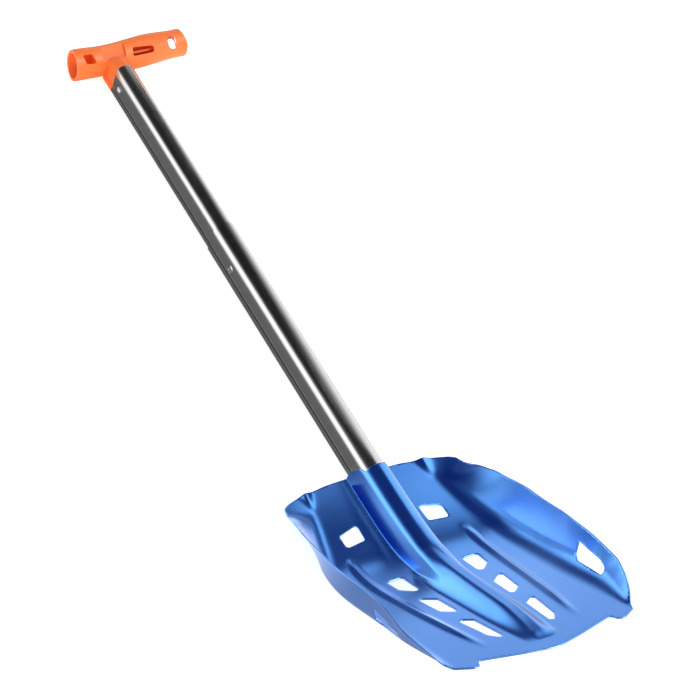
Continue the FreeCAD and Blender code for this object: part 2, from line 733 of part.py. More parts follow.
# Outlines in the facing plane: across the shaft, then up from the body's zero.
SADDLE = [(-15.5, 22.6, 4.0), (10.5, 22.6, 4.0), (10.5, 60.0, 4.0), (-15.5, 60.0, 4.0)]
SLOT_RECESS = [(18.0, 21.4, 3.0), (62.0, 20.8, 5.0), (62.0, 31.0, 5.0), (19.5, 32.2, 3.0)]
SLOT = [(18.5, 22.0, 2.0), (44.0, 21.6, 3.0), (43.5, 28.7, 3.0), (20.0, 31.4, 2.0)]
SLOT_RIB = [(12.0, 25.8, 0.0), (50.0, 25.0, 0.0), (50.0, 27.2, 0.0), (12.0, 28.0, 0.0)]
WINDOW = [(-34.0, 24.4, 2.0), (-22.2, 23.2, 2.0), (-26.0, 34.0, 2.0), (-37.2, 34.8, 2.0)]
END_TRIM = [(70.0, 46.5, 0.0), (77.5, 41.5, 9.0), (83.5, 22.0, 30.0), (83.5, 8.0, 8.0),
            (81.0, 0.0, 0.0), (110.0, 0.0, 0.0), (110.0, 60.0, 0.0), (70.0, 60.0, 0.0)]
EYE_TILT = 19.0
LANYARD_EYE = [(57.6, 20.5, 4.1), (66.0, 20.5, 4.1), (66.0, 34.5, 4.1), (57.6, 34.5, 4.1)]

# Hollows of the bar: place across, rise of the centre, half height, half depth.
LEFT_HOLLOW = [(-45.0, 3.2, 11.2, 16.0), (-18.0, 0.9, 10.0, 14.4)]
RIGHT_HOLLOW = [(15.0, 0.9, 10.0, 14.4), (88.0, 3.0, 11.0, 16.0)]


def grip_loft(body, kind, label, sections):
    """Loft of ovals; a section is its place, rise, half height and half depth."""
    sketches = []
    for index, (place, rise, half_height, half_depth) in enumerate(sections):
        centre = size("grip_centre") + rise
        major = vec(centre, GRIP_HEIGHT + half_depth)
        minor = vec(centre + half_height, GRIP_HEIGHT)
        outline = [Part.Ellipse(major, minor, vec(centre, GRIP_HEIGHT))]
        sketches.append(new_sketch(body, "YZ_Plane", f"{label}_{index}", outline, offset=f"{place} mm"))
    feature = body.newObject("PartDesign::" + kind, label)
    feature.Profile = sketches[0]
    feature.Sections = sketches[1:]


def facing_pocket(body, label, corners, length, level, tilt=0.0, kind="Pocket", symmetric=False):
    """Pocket or pad on a plane that faces the user, `level` above the body's zero."""
    sketch = new_sketch(body, "XY_Plane", label, rounded(corners))
    turn = FreeCAD.Rotation(vec(1, 0, 0), GRIP_FACING) * FreeCAD.Rotation(vec(0, 1, 0), -tilt)
    sketch.AttachmentOffset = FreeCAD.Placement(turn.multVec(vec(0, 0, level)), turn)
    extrude(body, kind, sketch, length, reverse=not symmetric, symmetric=symmetric)


def make_grip():
    body = new_body("grip_body", "Sizes.upper_outer_end")
    left = size("grip_left_end")
    length = size("grip_right_end") - left
    bar = [(left + length * share, rise, size("grip_half_height") * scale, size("grip_half_depth") * scale)
           for share, rise, scale in GRIP_STATIONS]
    grip_loft(body, "AdditiveLoft", "bar", bar)
    collar = new_sketch(body, "XZ_Plane", "collar", tube_outline(COLLAR_INSET))
    extrude(body, "Pad", collar, f"{COLLAR_LENGTH} mm", reverse=True)

    facing = math.radians(GRIP_FACING)
    axis_level = GRIP_HEIGHT * math.cos(facing) - size("grip_centre") * math.sin(facing)
    facing_pocket(body, "saddle", SADDLE, "20 mm", axis_level + SADDLE_LEVEL)
    facing_pocket(body, "slot_recess", SLOT_RECESS, "20 mm", axis_level + RECESS_LEVEL)
    facing_pocket(body, "end_trim", END_TRIM, "100 mm", 0.0, symmetric=True)
    plug = new_sketch(body, "XZ_Plane", "grip_plug", tube_outline(UPPER_INSET + WALL + 0.1))
    extrude(body, "Pad", plug, "Sizes.grip_plug_length")

    grip_loft(body, "SubtractiveLoft", "left_hollow", LEFT_HOLLOW)
    grip_loft(body, "SubtractiveLoft", "right_hollow", RIGHT_HOLLOW)
    rib_level = axis_level + RIB_TOP_LEVEL - RIB_DEPTH / 2
    facing_pocket(body, "slot_rib", SLOT_RIB, f"{RIB_DEPTH} mm", rib_level, kind="Pad", symmetric=True)
    facing_pocket(body, "window", WINDOW, "30 mm", axis_level)
    facing_pocket(body, "slot", SLOT, "30 mm", axis_level + RIB_TOP_LEVEL)
    facing_pocket(body, "lanyard_eye", LANYARD_EYE, "150 mm", 0.0, tilt=EYE_TILT, symmetric=True)
    rivet_centre = (size("rivet_place") - size("upper_outer_end"), size("rivet_height"))
    drill(body, "grip_rivet_hole", "YZ_Plane", size("rivet_radius") + RIVET_GAP, rivet_centre, through=True)
    return body


def make_rivet():
    """Domed rivet through the upper tube and the grip's plug."""
    body = register(doc.addObject("PartDesign::Body", "grip_rivet"), "grip_rivet")
    seat = groove_face(size("rivet_height"), UPPER_INSET) + 0.02
    shank = size("rivet_radius")
    head = size("rivet_head_radius")
    dome = 1.5
    flat = head * 0.25
    outline = [
        Part.LineSegment(vec(0, -seat - dome), vec(0, seat + dome)),
        Part.LineSegment(vec(0, seat + dome), vec(flat, seat + dome)),
        Part.Arc(vec(flat, seat + dome), vec(head * 0.75, seat + dome * 0.68), vec(head, seat)),
        Part.LineSegment(vec(head, seat), vec(shank, seat)),
        Part.LineSegment(vec(shank, seat), vec(shank, -seat)),
        Part.LineSegment(vec(shank, -seat), vec(head, -seat)),
        Part.Arc(vec(head, -seat), vec(head * 0.75, -seat - dome * 0.68), vec(flat, -seat - dome)),
        Part.LineSegment(vec(flat, -seat - dome), vec(0, -seat - dome)),
    ]
    turned(body, "XY_Plane", "rivet_profile", outline)
    base = vec(0, size("rivet_place"), size("axis_height") + size("rivet_height"))
    body.Placement = FreeCAD.Placement(base, FreeCAD.Rotation(vec(0, 0, 1), 90))
    return body


make_blade()
make_tray()
make_lower_tube()
make_upper_tube()
make_tube_plug("lower_tube_end_cap", 0.0, "lower_inner_end")
make_tube_plug("upper_tube_glide", UPPER_INSET, "upper_inner_end")
make_telescope_lock()
make_blade_lock()
make_grip()
make_rivet()

doc.recompute()
for item in doc.Objects:
    if "Invalid" in item.State or "Error" in item.State:
        raise RuntimeError(f"{item.Label} failed: {item.State}")
os.makedirs("parts", exist_ok=True)
for part in PARTS:
    shape = part.Shape
    if shape.isNull() or not shape.isValid() or not shape.Solids:
        raise RuntimeError(f"{part.Label} has no valid solid")
    shape.exportStep(f"parts/{part.Label}.step")
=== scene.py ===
import math

import bpy
import numpy as np
from mathutils import Matrix, Vector
from mathutils.geometry import delaunay_2d_cdt


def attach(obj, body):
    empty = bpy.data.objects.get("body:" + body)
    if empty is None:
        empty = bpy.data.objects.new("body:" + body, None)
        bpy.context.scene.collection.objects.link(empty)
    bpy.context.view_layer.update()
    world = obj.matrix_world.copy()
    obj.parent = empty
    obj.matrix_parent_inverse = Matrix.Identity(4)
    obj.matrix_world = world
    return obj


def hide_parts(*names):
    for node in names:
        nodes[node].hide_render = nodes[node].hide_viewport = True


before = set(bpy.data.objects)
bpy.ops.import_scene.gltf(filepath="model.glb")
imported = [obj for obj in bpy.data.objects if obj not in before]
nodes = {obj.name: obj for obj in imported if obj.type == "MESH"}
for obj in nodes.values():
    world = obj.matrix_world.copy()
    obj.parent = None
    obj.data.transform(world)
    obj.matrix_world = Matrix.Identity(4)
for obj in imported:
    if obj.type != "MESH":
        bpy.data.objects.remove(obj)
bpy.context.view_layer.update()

MM = 0.001
# Height of the shaft's datum line above the row's zero, in millimetres.
AXIS_HEIGHT = 17.6

# ------------------------------------------------------------ blade shape
# The blade's face as a height over the plan, in millimetres: x is across, y
# runs along the shaft towards the grip, zero at the socket's front edge.

SHEET = 1.6
BED_HEIGHT = -14.0
BED_SLOPE = 0.65
BEND_PLACE = -88.4
BEND_RADIUS = 19.0


def station_curve(stations):
    """Smooth curve through (place, value) stations that never overshoots them."""
    places, values = np.array(sorted(stations), float).T
    steps = np.diff(places)
    rates = np.diff(values) / steps
    tangents = np.zeros(len(places))
    tangents[0] = rates[0]
    tangents[-1] = rates[-1]
    for i in range(1, len(places) - 1):
        if rates[i - 1] * rates[i] > 0:
            before = 2 * steps[i] + steps[i - 1]
            after = steps[i] + 2 * steps[i - 1]
            tangents[i] = (before + after) / (before / rates[i - 1] + after / rates[i])

    def curve(y):
        y = np.asarray(y, float)
        i = np.clip(np.searchsorted(places, y) - 1, 0, len(steps) - 1)
        t = np.clip((y - places[i]) / steps[i], 0, 1)
        inside = ((2 * t**3 - 3 * t**2 + 1) * values[i] + (t**3 - 2 * t**2 + t) * steps[i] * tangents[i]
                  + (3 * t**2 - 2 * t**3) * values[i + 1] + (t**3 - t**2) * steps[i] * tangents[i + 1])
        below = np.minimum(y - places[0], 0) * tangents[0]
        beyond = np.maximum(y - places[-1], 0) * tangents[-1]
        return inside + below + beyond

    return curve


rim_width = station_curve([(26, 85), (18, 88), (-6, 95), (-27, 100.5), (-50, 105), (-98, 109.5),
                           (-137, 110.5), (-165, 109.5), (-200, 109.5), (-225, 110.5), (-242, 107.5),
                           (-255, 103.5), (-266, 99.5), (-279, 93.5), (-312, 82)])
rim_height = station_curve([(26, 3), (18, 4), (-6, 10), (-27, 24.5), (-50, 37.5), (-98, 52), (-137, 51.5),
                            (-178, 46.6), (-225, 31), (-262, 12.2), (-279, 1), (-312, 0.2)])
flank_foot = station_curve([(26, 57), (18, 58), (-20, 62), (-50, 68), (-90, 78), (-130, 82), (-190, 83),
                            (-230, 86), (-262, 88), (-290, 90), (-312, 82)])
channel_height = station_curve([(30, 38.7), (0, 38.7), (-50, 37.7), (-84, 34.2), (-110, 28), (-138, 23),
                                (-173, 19.5), (-222, 15.5), (-250, 10.5), (-272, 5), (-288, 0), (-312, 0)])
channel_foot = station_curve([(30, 16.4), (-110, 16.4), (-138, 16.2), (-173, 15.5), (-222, 14.5),
                              (-250, 13.5), (-272, 12.5), (-312, 12)])
bead_line = station_curve([(26, 61), (-60, 61), (-75, 62), (-110, 63), (-160, 60), (-220, 54),
                           (-262, 48.5), (-280, 46), (-312, 44)])

SIDE_ANGLE = math.radians(83.3)
SOCKET_TOP = 24.45
SOCKET_FOOT = 16.4
DOME_RADIUS = 13.7
SHOULDER = DOME_RADIUS * math.sin(SIDE_ANGLE)
CHANNEL_FILLET = 4.0
FILLET_SHARE = 0.4
FILLET_LEAST = 0.01
# Side wall: its fillet's radius, and the least sizes that keep the formula sound.
FLANK_RADIUS = 22.0
FLANK_RADIUS_SHARE = 0.8
FLANK_LEAST_HEIGHT = 0.2
FLANK_LEAST_REACH = 4.0
# In front of the tube's end the ridge turns into a rounded swell.
SOFT_START = -112.0
SOFT_LENGTH = 45.0
SOFT_CREST = 3.0
SOFT_SPREAD = 1.5
# Ribs of the bed: crest, width, and where they rise behind and fade in front.
BEAD_HEIGHT = 2.8
BEAD_WIDTH = 3.3
BEAD_REAR = -66.0
BEAD_RISE = 25.0
BEAD_FRONT = -275.0
BEAD_FADE = 60.0
# Creases that run out over the rear edge.
DART_HEIGHT = 3.5
DART_WIDTH = 3.0
DART_PLACE = 64.0
DART_TIP = -10.0
DART_LENGTH = 24.0
DART_GROWTH = 1.3
DART_POWER = 1.5


def smooth_step(t):
    """0 below 0, 1 above 1 and a smooth change between them."""
    t = np.clip(t, 0.0, 1.0)
    return t * t * (3 - 2 * t)


def bed(y):
    """Height of the blade's bed: level under the socket, then a bend into a slope."""
    return BED_HEIGHT + BED_SLOPE * BEND_RADIUS * np.logaddexp(0, (BEND_PLACE - y) / BEND_RADIUS)


def flank(a, y):
    """Height of the side wall above the bed: a fillet, then a straight wall."""
    height = np.maximum(rim_height(y), FLANK_LEAST_HEIGHT)
    foot = flank_foot(y)
    reach = np.maximum(rim_width(y) - foot, FLANK_LEAST_REACH)
    largest = (height**2 + reach**2) / (2 * height)
    radius = np.minimum(FLANK_RADIUS, FLANK_RADIUS_SHARE * largest)
    above = height - radius
    angle = np.arccos(-radius / np.hypot(above, reach)) - np.arctan2(reach, above)
    run = np.maximum(a - foot, 0.0)
    tangent = radius * np.sin(angle)
    arc = radius - np.sqrt(np.maximum(radius**2 - np.minimum(run, tangent)**2, 0.0))
    return arc + np.maximum(run - tangent, 0.0) * np.tan(angle)


def channel(a, y):
    """Height of the hollow ridge that forms the socket and fades to the front."""
    height = np.maximum(channel_height(y), 0.0)
    scaled = a / channel_foot(y) * SOCKET_FOOT
    centre = SOCKET_TOP - DOME_RADIUS
    dome = centre + np.sqrt(np.maximum(DOME_RADIUS**2 - np.minimum(scaled, SHOULDER)**2, 0))
    wall = centre + DOME_RADIUS * math.cos(SIDE_ANGLE) - (scaled - SHOULDER) * math.tan(SIDE_ANGLE)
    level = np.where(scaled < SHOULDER, dome, wall)
    ridge = (level - BED_HEIGHT) / (SOCKET_TOP - BED_HEIGHT) * height
    fillet = np.minimum(CHANNEL_FILLET, FILLET_SHARE * height + FILLET_LEAST)
    sharp = np.maximum(ridge, 0.0) + np.maximum(fillet - np.abs(ridge), 0)**2 / (4 * fillet)
    spread = SOFT_SPREAD * channel_foot(y)
    soft = height * (1 - smooth_step((a - SOFT_CREST) / (spread - SOFT_CREST)))
    share = smooth_step((SOFT_START - y) / SOFT_LENGTH)
    return sharp * (1 - share) + soft * share


def bead(a, y):
    """Height of the long rib in the bed."""
    rise = smooth_step((BEAD_REAR - y) / BEAD_RISE)
    fade = smooth_step((y - BEAD_FRONT) / BEAD_FADE)
    return BEAD_HEIGHT * rise * fade * np.exp(-((a - bead_line(y)) / BEAD_WIDTH)**2)


def dart(a, y):
    """Height of the crease that grows towards the rear edge."""
    growth = np.clip((y - DART_TIP) / DART_LENGTH, 0.0, DART_GROWTH)
    width = DART_WIDTH * (1 + growth)
    return DART_HEIGHT * growth**DART_POWER * np.exp(-((a - DART_PLACE) / width)**2)


def scoop(x, y):
    """Height of the blade's front face over the plan."""
    a = np.abs(x)
    return bed(y) + flank(a, y) + channel(a, y) + bead(a, y) + dart(a, y)


def scoop_normal(x, y):
    """Unit normal of the front face, from small differences of height."""
    step = 0.05
    across = (scoop(x + step, y) - scoop(x - step, y)) / (2 * step)
    along = (scoop(x, y + step) - scoop(x, y - step)) / (2 * step)
    normal = np.stack([-across, -along, np.ones_like(across)], -1)
    return normal / np.linalg.norm(normal, axis=-1, keepdims=True)


# --------------------------------------------------------------- outlines

def rounded(corners, step=1.0):
    """Points along a closed outline of (x, y, radius) corners with arcs."""
    count = len(corners)
    points = []
    for index, (x, y, radius) in enumerate(corners):
        here = np.array([x, y], float)
        before = np.array(corners[index - 1][:2], float) - here
        after = np.array(corners[(index + 1) % count][:2], float) - here
        before /= np.linalg.norm(before)
        after /= np.linalg.norm(after)
        half = math.acos(np.clip(before @ after, -1, 1)) / 2
        reach = radius / math.tan(half)
        bisector = (before + after) / np.linalg.norm(before + after)
        centre = here + bisector * radius / math.sin(half)
        turn = math.pi - 2 * half
        pieces = max(2, int(radius * turn / step) + 1)
        start = here + before * reach - centre
        sense = np.sign(before[0] * after[1] - before[1] * after[0]) * -1
        for k in range(pieces + 1):
            angle = sense * turn * k / pieces
            spin = np.array([[math.cos(angle), -math.sin(angle)], [math.sin(angle), math.cos(angle)]])
            points.append(centre + spin @ start)
    return np.array(points)


def respaced(points, spacing):
    """The closed outline's points moved to an even spacing."""
    closed = np.vstack([points, points[:1]])
    lengths = np.linalg.norm(np.diff(closed, axis=0), axis=1)
    keep = np.append(lengths > 1e-9, True)
    closed = closed[keep]
    travelled = np.append(0, np.cumsum(np.linalg.norm(np.diff(closed, axis=0), axis=1)))
    count = int(travelled[-1] / spacing)
    places = np.linspace(0, travelled[-1], count, endpoint=False)
    return np.stack([np.interp(places, travelled, closed[:, k]) for k in (0, 1)], 1)


# Right half of the blade's plan, as (x, y, corner radius) from the socket's
# front edge round to the middle of the lip.
PLAN = [
    (12.3, 0.0, 1.0), (15.6, 19.2, 2.0), (42, 18.6, 100.0), (74, 12.5, 60.0), (95.5, 3.0, 22.0),
    (103, -40, 8.0), (125, -60, 5.0), (125, -249, 5.0), (103, -258, 6.0), (94, -283, 9.0),
    (76, -293.5, 3.0), (70.5, -291.5, 1.5), (67.5, -284.0, 2.0), (60, -286.0, 6.0), (28, -296.0, 60.0),
]
PLAN_POINT = (0.0, -303.0, 40.0)
BED_HOLES = [
    [(33, -33.5, 3), (34, -54, 3), (55.5, -57, 3), (55.5, -40.5, 4)],
    [(31.5, -115.5, 3), (31, -150, 4), (47, -135, 4), (48.5, -115.5, 3)],
    [(29, -168.5, 3), (27.5, -201.5, 3), (41, -190.5, 4), (45, -156.5, 3)],
    [(27, -220, 3), (23, -268, 3), (34.5, -251, 5), (40, -211, 3)],
]
# Opening in the flank, seen along X: place along the shaft, height and radius.
FLANK_HOLE = [
    (-178.5, 75, 2), (-183, 62, 3), (-190, 62, 4), (-226, 83, 3), (-221, 88.5, 3), (-212, 87.5, 6),
]


def mirrored(corners):
    """The corners on the other side, in an order that keeps the outline going round."""
    return [(-x, y, radius) for x, y, radius in reversed(corners)]


def flank_place(y, z, halvings=30):
    """Distance from the middle at which the flank has the height z."""
    low = flank_foot(y)
    high = rim_width(y)
    for _ in range(halvings):
        middle = (low + high) / 2
        below = scoop(middle, y) < z
        low = np.where(below, middle, low)
        high = np.where(below, high, middle)
    return (low + high) / 2


# The blade's plan is unrolled, so that its steep parts get their full share of
# the mesh: a point's place across becomes its distance along the section from
# the middle. SECTION is finest across the socket's wall.
PAST_RIM = 6.0
SECTION = np.concatenate([np.arange(0, 12, 0.5), np.arange(12, 19, 0.05), np.arange(19, 130.5, 0.5)])


def section_lengths(y):
    """Unrolled distance at each station of SECTION, for an array of places."""
    y = np.asarray(y, float)[:, None]
    height = scoop(np.minimum(SECTION[None, :], rim_width(y) + PAST_RIM), y)
    steps = np.hypot(np.diff(SECTION)[None, :], np.diff(height, axis=1))
    return np.concatenate([np.zeros((len(y), 1)), np.cumsum(steps, axis=1)], 1)


def unroll(points):
    """Plan points (x, y) to points (distance along the section, y)."""
    lengths = section_lengths(points[:, 1])
    distance = np.array([np.interp(abs(x), SECTION, row) for x, row in zip(points[:, 0], lengths)])
    return np.stack([np.sign(points[:, 0]) * distance, points[:, 1]], 1)


def roll(points):
    """The way back from unroll."""
    lengths = section_lengths(points[:, 1])
    x = np.array([np.interp(abs(u), row, SECTION) for u, row in zip(points[:, 0], lengths)])
    return np.stack([np.sign(points[:, 0]) * x, points[:, 1]], 1)


def inside(points, outline):
    """Which points lie inside a closed outline."""
    x = points[:, 0][:, None]
    y = points[:, 1][:, None]
    x0, y0 = outline.T
    x1, y1 = np.roll(outline, -1, axis=0).T
    crosses = (y0 > y) != (y1 > y)
    with np.errstate(divide="ignore", invalid="ignore"):
        meets = x < (x1 - x0) * (y - y0) / (y1 - y0) + x0
    return (crosses & meets).sum(1) % 2 == 1


def nearest(points, outline):
    """Distance of each point from an outline's points."""
    best = np.full(len(points), 1e9)
    for x, y in outline:
        best = np.minimum(best, (points[:, 0] - x)**2 + (points[:, 1] - y)**2)
    return np.sqrt(best)


# Mesh sizes in millimetres: the fine outline, the mesh's edge, the clear strip
# beside an edge, the rows of inner points with every second row shifted, and
# the columns, which are wider apart on the flanks.
OUTLINE_SPACING = 0.5
EDGE_SPACING = 1.1
EDGE_CLEARANCE = 0.75
ROW_SPACING = 2.0
ROW_SHIFT = 0.5
ROWS_REAR = 20.0
ROWS_FRONT = -306.0
COLUMNS = np.concatenate([np.arange(0, 64, 1.15), np.arange(64, 165, 2.1)])
# Rounding of the sheet's edge: how far out, and how deep into the thickness.
EDGE_PROFILE = [(0.30, 0.12), (0.42, 0.5), (0.30, 0.88)]


def mesh_outline(points):
    """A closed plan outline, unrolled and evenly spaced."""
    return respaced(unroll(respaced(points, OUTLINE_SPACING)), EDGE_SPACING)


def blade_outlines():
    """The blade's edge and its openings, in the unrolled plan."""
    edge = respaced(rounded(PLAN + [PLAN_POINT] + mirrored(PLAN)), OUTLINE_SPACING)
    edge[:, 0] = np.sign(edge[:, 0]) * np.minimum(np.abs(edge[:, 0]), rim_width(edge[:, 1]))
    outlines = [mesh_outline(edge)]
    for hole in BED_HOLES:
        for corners in (hole, mirrored(hole)):
            outlines.append(mesh_outline(rounded(corners)))
    window = respaced(rounded(FLANK_HOLE), OUTLINE_SPACING)
    x = flank_place(window[:, 0], window[:, 1])
    for side in (1, -1):
        plan = np.stack([side * x, window[:, 0]], 1)
        outlines.append(respaced(unroll(plan), EDGE_SPACING))
    return outlines


def within_blade(points, edge, holes):
    """Which points lie inside the blade's edge and outside its openings."""
    keep = inside(points, edge)
    for hole in holes:
        keep &= ~inside(points, hole)
    return keep


def lattice(outlines):
    """Inner points of the mesh, in the unrolled plan."""
    rows = []
    for index, y in enumerate(np.arange(ROWS_REAR, ROWS_FRONT, -ROW_SPACING)):
        shift = ROW_SHIFT * (index % 2)
        row = np.concatenate([COLUMNS + shift, -COLUMNS[1:] - shift])
        rows.append(np.stack([row, np.full(len(row), y)], 1))
    points = np.vstack(rows)
    keep = within_blade(points, outlines[0], outlines[1:])
    for outline in outlines:
        keep[keep] = nearest(points[keep], outline) > EDGE_CLEARANCE
    return points[keep]


def blade_triangles(outlines):
    """Points and upward triangles that fill the blade's unrolled plan."""
    points = np.vstack(outlines + [lattice(outlines)])
    segments = []
    start = 0
    for outline in outlines:
        count = len(outline)
        segments += [(start + k, start + (k + 1) % count) for k in range(count)]
        start += count
    flat, _, triangles, _, _, _ = delaunay_2d_cdt([Vector(p) for p in points], segments, [], 0, 1e-5)
    flat = np.array([tuple(p) for p in flat])
    triangles = np.array([tuple(t) for t in triangles])
    triangles = triangles[within_blade(flat[triangles].mean(1), outlines[0], outlines[1:])]
    a, b, c = (flat[triangles[:, k]] for k in range(3))
    turned = (b[:, 0] - a[:, 0]) * (c[:, 1] - a[:, 1]) - (b[:, 1] - a[:, 1]) * (c[:, 0] - a[:, 0]) < 0
    triangles[turned] = triangles[turned][:, ::-1]
    return flat, triangles


def blade_mesh():
    """The blade as a closed sheet: face, back and a rounded edge between them."""
    flat, triangles = blade_triangles(blade_outlines())
    plan = roll(flat)
    x, y = plan.T
    face = np.stack([x, y, scoop(x, y)], 1)
    normal = scoop_normal(x, y)
    back = face - normal * SHEET

    # Border edges in order of travel, and the way out of the sheet at each.
    edges = {}
    for t in triangles:
        for k in range(3):
            edges[(t[k], t[(k + 1) % 3])] = True
    border = [e for e in edges if (e[1], e[0]) not in edges]
    outward = np.zeros_like(face)
    for p, q in border:
        way = np.cross(face[q] - face[p], normal[p] + normal[q])
        way /= np.linalg.norm(way)
        outward[p] += way
        outward[q] += way
    border_points = sorted({p for e in border for p in e})
    order = {p: k for k, p in enumerate(border_points)}
    spread = outward[border_points]
    spread /= np.linalg.norm(spread, axis=1, keepdims=True)
    top = face[border_points]
    down = -normal[border_points]
    rounding = [top + spread * out + down * SHEET * depth for out, depth in EDGE_PROFILE]
    vertices = np.vstack([face] + rounding + [back])

    count = len(face)
    size = len(border_points)
    base = count + size * len(EDGE_PROFILE)

    def levels(point):
        """The same border point on the face, along the rounding and on the back."""
        return [point] + [count + size * k + order[point] for k in range(len(EDGE_PROFILE))] + [base + point]

    faces = [tuple(t) for t in triangles]
    faces += [(base + t[0], base + t[2], base + t[1]) for t in triangles]
    for p, q in border:
        from_p = levels(p)
        from_q = levels(q)
        for k in range(len(EDGE_PROFILE) + 1):
            faces.append((from_q[k], from_p[k], from_p[k + 1], from_q[k + 1]))
    vertices[:, 2] += AXIS_HEIGHT
    mesh = bpy.data.meshes.new("blade_sheet")
    mesh.from_pydata((vertices * MM).tolist(), [], [tuple(int(i) for i in f) for f in faces])
    mesh.validate()
    mesh.shade_smooth()
    return mesh


def add_object(name, mesh):
    """New object of a mesh, in the scene."""
    piece = bpy.data.objects.new(name, mesh)
    bpy.context.scene.collection.objects.link(piece)
    return piece


# -------------------------------------------------------------- materials

class Nodes:
    """Short way to build a node tree."""

    def __init__(self, tree):
        self.tree = tree

    def add(self, kind, inputs=None, **settings):
        node = self.tree.nodes.new(kind)
        for key, value in settings.items():
            setattr(node, key, value)
        for key, value in (inputs or {}).items():
            self.put(node.inputs[key], value)
        return node

    def put(self, socket, value):
        if isinstance(value, bpy.types.NodeSocket):
            self.tree.links.new(value, socket)
        else:
            socket.default_value = value

    def maths(self, operation, *values):
        node = self.add("ShaderNodeMath", dict(enumerate(values)), operation=operation)
        return node.outputs[0]

    def soft_step(self, value, low, high):
        """0 at low and 1 at high, with a smooth change between them."""
        inputs = {"Value": value, "From Min": low, "From Max": high}
        return self.add("ShaderNodeMapRange", inputs, interpolation_type="SMOOTHSTEP").outputs["Result"]

    def glossy_ray(self):
        return self.add("ShaderNodeLightPath").outputs["Is Glossy Ray"]


class Graph(Nodes):
    """Nodes of a new material, with its Principled shader."""

    def __init__(self, name):
        self.material = bpy.data.materials.new(name)
        self.material.use_nodes = True
        super().__init__(self.material.node_tree)
        self.shader = self.tree.nodes["Principled BSDF"]

    def set(self, **inputs):
        for key, value in inputs.items():
            self.put(self.shader.inputs[key.replace("_", " ")], value)

    def surface(self, shader):
        self.tree.links.new(shader.outputs[0], self.tree.nodes["Material Output"].inputs["Surface"])

    def ramp(self, factor, stops):
        node = self.add("ShaderNodeValToRGB", {"Fac": factor})
        elements = node.color_ramp.elements
        for element, (place, colour) in zip(elements, stops, strict=True):
            element.position = place
            element.color = colour
        return node.outputs["Color"]

    def noise(self, scale, detail=3.0, stretch=(1, 1, 1)):
        place = self.add("ShaderNodeTexCoord").outputs["Object"]
        mapped = self.add("ShaderNodeMapping", {"Vector": place, "Scale": stretch})
        inputs = {"Vector": mapped.outputs["Vector"], "Scale": scale, "Detail": detail, "Roughness": 0.5}
        return self.add("ShaderNodeTexNoise", inputs).outputs["Fac"]

    def bump(self, height, strength, distance):
        inputs = {"Height": height, "Strength": strength, "Distance": distance}
        return self.add("ShaderNodeBump", inputs).outputs["Normal"]

    def attribute(self, name):
        return self.add("ShaderNodeAttribute", attribute_name=name).outputs["Fac"]

    def mix(self, factor, first, second):
        node = self.add("ShaderNodeMix", data_type="RGBA")
        self.put(node.inputs["Factor"], factor)
        self.put(node.inputs[6], first)
        self.put(node.inputs[7], second)
        return node.outputs[2]


def grey(value):
    """Grey as a colour with alpha."""
    return (value, value, value, 1)


def anodised_blue():
    """Satin anodised aluminium: uneven blue, paler on worn edges. The faint blue glow is painted light that
    keeps the darkest reflections blue."""
    g = Graph("anodised_blue")
    mottle = g.noise(14, 4)
    base = g.ramp(mottle, [(0.3, (0.100, 0.34, 0.86, 1)), (0.7, (0.115, 0.37, 0.90, 1))])
    edge = g.add("ShaderNodeNewGeometry").outputs["Pointiness"]
    worn = g.ramp(edge, [(0.53, grey(0)), (0.60, grey(1))])
    colour = g.mix(worn, base, (0.42, 0.58, 0.92, 1))
    fine = g.noise(900, 2)
    g.set(Base_Color=colour, Metallic=1.0,
          Roughness=g.ramp(mottle, [(0.2, grey(0.20)), (0.8, grey(0.26))]),
          Coat_Weight=0.2, Coat_Roughness=0.16, Coat_IOR=1.5,
          # Painted light: a faint blue glow that lifts the darkest reflections.
          Emission_Color=(0.0, 0.06, 1.0, 1), Emission_Strength=0.11,
          Normal=g.bump(fine, 0.04, 0.0002))
    return g.material


def polished_tube():
    """Drawn aluminium tube: fine streaks along its length."""
    g = Graph("polished_tube")
    drawn = g.noise(60, 4, stretch=(60, 1.2, 60))
    g.set(Base_Color=g.ramp(drawn, [(0.3, grey(0.60)), (0.7, grey(0.70))]), Metallic=1.0,
          Roughness=g.ramp(drawn, [(0.3, grey(0.16)), (0.7, grey(0.24))]), Anisotropic=0.5,
          Normal=g.bump(drawn, 0.05, 0.0002))
    return g.material


def orange_plastic():
    """Moulded plastic of the grip: slightly translucent, with a fine grain."""
    g = Graph("orange_plastic")
    tone = g.noise(40, 3)
    base = g.ramp(tone, [(0.3, (1.0, 0.185, 0.030, 1)), (0.7, (1.0, 0.215, 0.042, 1))])
    grain = g.noise(2600, 2)
    g.set(Base_Color=base, Roughness=0.36, Normal=g.bump(grain, 0.12, 0.0001),
          Subsurface_Weight=0.12, Subsurface_Radius=(0.004, 0.0015, 0.0006), Subsurface_Scale=1.0)
    return g.material


def black_plastic():
    g = Graph("black_plastic")
    grain = g.noise(1800, 2)
    g.set(Base_Color=g.ramp(grain, [(0.3, grey(0.015)), (0.7, grey(0.03))]), Roughness=0.45,
          Normal=g.bump(grain, 0.15, 0.0002))
    return g.material


def bright_steel():
    g = Graph("bright_steel")
    streak = g.noise(500, 3)
    g.set(Base_Color=grey(0.72), Metallic=1.0,
          Roughness=g.ramp(streak, [(0.3, grey(0.18)), (0.7, grey(0.28))]))
    return g.material


def satin_aluminium():
    g = Graph("satin_aluminium")
    streak = g.noise(500, 3)
    g.set(Base_Color=grey(0.92), Metallic=0.6,
          Roughness=g.ramp(streak, [(0.3, grey(0.40)), (0.7, grey(0.5))]))
    return g.material


def dress(piece, material):
    """Give a piece one material."""
    piece.data.materials.clear()
    piece.data.materials.append(material)


# ------------------------------------------------------------------ build

blue = anodised_blue()
tube = polished_tube()
orange = orange_plastic()
black = black_plastic()
steel = bright_steel()
aluminium = satin_aluminium()

